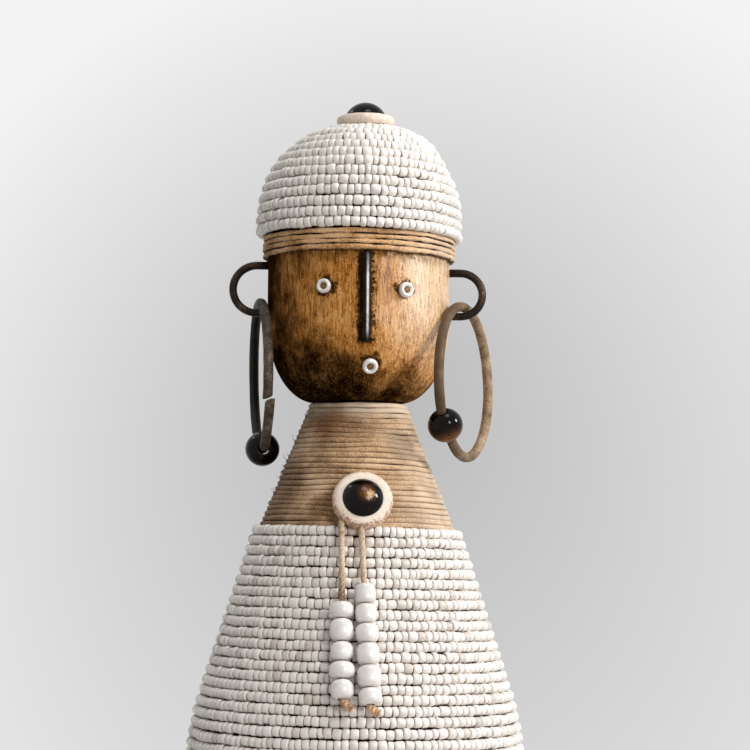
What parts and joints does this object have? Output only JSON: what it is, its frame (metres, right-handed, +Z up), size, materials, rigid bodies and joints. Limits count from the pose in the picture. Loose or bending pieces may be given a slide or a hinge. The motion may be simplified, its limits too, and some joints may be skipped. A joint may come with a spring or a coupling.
{
  "type": "namji doll",
  "caption": "Carved wooden namji doll wound with twine and strings of white glass beads, with an iron nose, swinging iron ear hoops and beaded pendants hanging from a bone chest ring.",
  "frame": {"origin": "on the floor, under the middle of the foot", "axes": "+Z is up, the face looks along -Y, and +X is to the right as the face is seen from the front"},
  "size_m": [0.1284, 0.1339, 0.2911],
  "materials": {
    "wood": "stained and worn, satin",
    "seed_beads": "opaque white, glossy",
    "white_glass": "opaque white, glossy",
    "twine": "spun plant fibre, matte",
    "band_cord": "spun plant fibre, matte",
    "bone": "smooth, satin",
    "horn": "polished black",
    "iron": "forged, dark"
  },
  "bodies": {
    "figure": {"carved_figure": "wood", "lower_skirt_beads": "seed_beads", "upper_skirt_beads": "seed_beads", "cap_beads": "seed_beads", "neck_twine": "twine", "brow_band": "band_cord", "nose_pin": "iron", "left_eye_bead": "white_glass", "left_eye_peg": "wood", "right_eye_bead": "white_glass", "right_eye_peg": "wood", "mouth_bead": "white_glass", "mouth_peg": "wood", "left_ear_loop": "iron", "right_ear_loop": "iron", "crown_ring": "bone", "crown_button": "horn", "chest_ring": "bone", "chest_button": "horn"},
    "left_hoop": {"left_hoop": "iron"},
    "left_hoop_bead": {"left_hoop_bead": "horn"},
    "right_hoop": {"right_hoop": "iron"},
    "right_hoop_bead": {"right_hoop_bead": "horn"},
    "left_cord_root": {"left_cord_root": "twine"},
    "left_pendant": {"left_pendant_cord": "twine", "left_knot": "twine"},
    "left_pendant_beads": {"left_pendant_bead_1": "white_glass", "left_pendant_bead_2": "white_glass", "left_pendant_bead_3": "white_glass", "left_pendant_bead_4": "white_glass", "left_pendant_bead_5": "white_glass"},
    "right_cord_root": {"right_cord_root": "twine"},
    "right_pendant": {"right_pendant_cord": "twine", "right_knot": "twine"},
    "right_pendant_beads": {"right_pendant_bead_1": "white_glass", "right_pendant_bead_2": "white_glass", "right_pendant_bead_3": "white_glass", "right_pendant_bead_4": "white_glass", "right_pendant_bead_5": "white_glass", "right_pendant_bead_6": "white_glass"}
  },
  "joints": [
    {"name": "left_hoop_swing", "type": "hinge", "parent": "figure", "child": "left_hoop", "pos_m": [-0.0384, 0, 0.208], "axis": [0.9886, 0.1478, 0.0276], "range_deg": [-50, 50]},
    {"name": "left_hoop_bead_slide", "type": "hinge", "parent": "left_hoop", "child": "left_hoop_bead", "pos_m": [-0.03761, 0, 0.18331], "axis": [0.9886, 0.1478, 0.0276], "range_deg": [-50, 100]},
    {"name": "right_hoop_swing", "type": "hinge", "parent": "figure", "child": "right_hoop", "pos_m": [0.0404, 0, 0.2071], "axis": [0.9332, -0.3584, 0.0261], "range_deg": [-50, 50]},
    {"name": "right_hoop_bead_slide", "type": "hinge", "parent": "right_hoop", "child": "right_hoop_bead", "pos_m": [0.04122, 0, 0.18151], "axis": [0.9332, -0.3584, 0.0261], "range_deg": [-40, 140]},
    {"name": "left_pendant_sway", "type": "hinge", "parent": "figure", "child": "left_cord_root", "pos_m": [-0.00537, -0.04381, 0.12649], "axis": [0, -0.9518, 0.3066], "range_deg": [-30, 0]},
    {"name": "left_pendant_lift", "type": "hinge", "parent": "left_cord_root", "child": "left_pendant", "pos_m": [-0.00531, -0.04586, 0.12405], "axis": [-0.9998, -0.0064, -0.0199], "range_deg": [0, 60]},
    {"name": "left_beads_slide", "type": "slide", "parent": "left_pendant", "child": "left_pendant_beads", "axis": [-0.0209, 0.3065, 0.9516], "range_m": [0, 0.026]},
    {"name": "right_pendant_sway", "type": "hinge", "parent": "figure", "child": "right_cord_root", "pos_m": [0.00207, -0.04465, 0.12361], "axis": [0, -0.9518, 0.3066], "range_deg": [0, 30]},
    {"name": "right_pendant_lift", "type": "hinge", "parent": "right_cord_root", "child": "right_pendant", "pos_m": [0.00223, -0.0467, 0.12117], "axis": [-0.9984, -0.0171, -0.0531], "range_deg": [0, 60]},
    {"name": "right_beads_slide", "type": "slide", "parent": "right_pendant", "child": "right_pendant_beads", "axis": [-0.0558, 0.3061, 0.9504], "range_m": [0, 0.017]}
  ]
}
